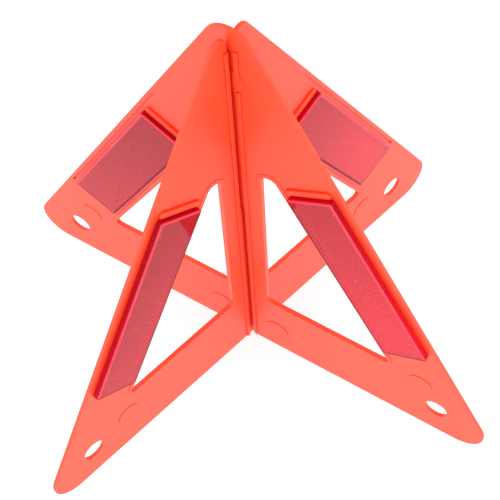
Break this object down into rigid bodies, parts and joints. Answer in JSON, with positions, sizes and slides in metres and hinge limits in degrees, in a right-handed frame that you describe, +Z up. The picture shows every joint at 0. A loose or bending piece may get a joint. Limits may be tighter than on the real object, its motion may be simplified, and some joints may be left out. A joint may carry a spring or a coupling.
{
  "type": "warning triangle",
  "caption": "Free-standing roadside warning triangle: fluorescent triangular boards slot together crosswise, with windowed fins, prismatic red reflectors and corner holes.",
  "frame": {"origin": "on the floor, on the upright line where the two boards cross", "axes": "+Z up along the crossing line; the two nearer fins open towards -Y and the two farther fins towards +Y; X across"},
  "size_m": [0.2566, 0.2024, 0.2886],
  "materials": {
    "board": "satin moulded fluorescent orange-red plastic",
    "reflector": "clear red moulded plastic with a smooth face over corner-cube prisms"
  },
  "bodies": {
    "lower": {"lower_board": "board", "reflector_near_left_front": "reflector", "reflector_near_left_back": "reflector", "reflector_far_right_front": "reflector", "reflector_far_right_back": "reflector"},
    "upper": {"upper_board": "board", "reflector_far_left_front": "reflector", "reflector_far_left_back": "reflector", "reflector_near_right_front": "reflector", "reflector_near_right_back": "reflector"}
  },
  "joints": [
    {"name": "lift_off", "type": "slide", "parent": "lower", "child": "upper", "axis": [0, 0, 1], "range_m": [0, 0.29]}
  ]
}
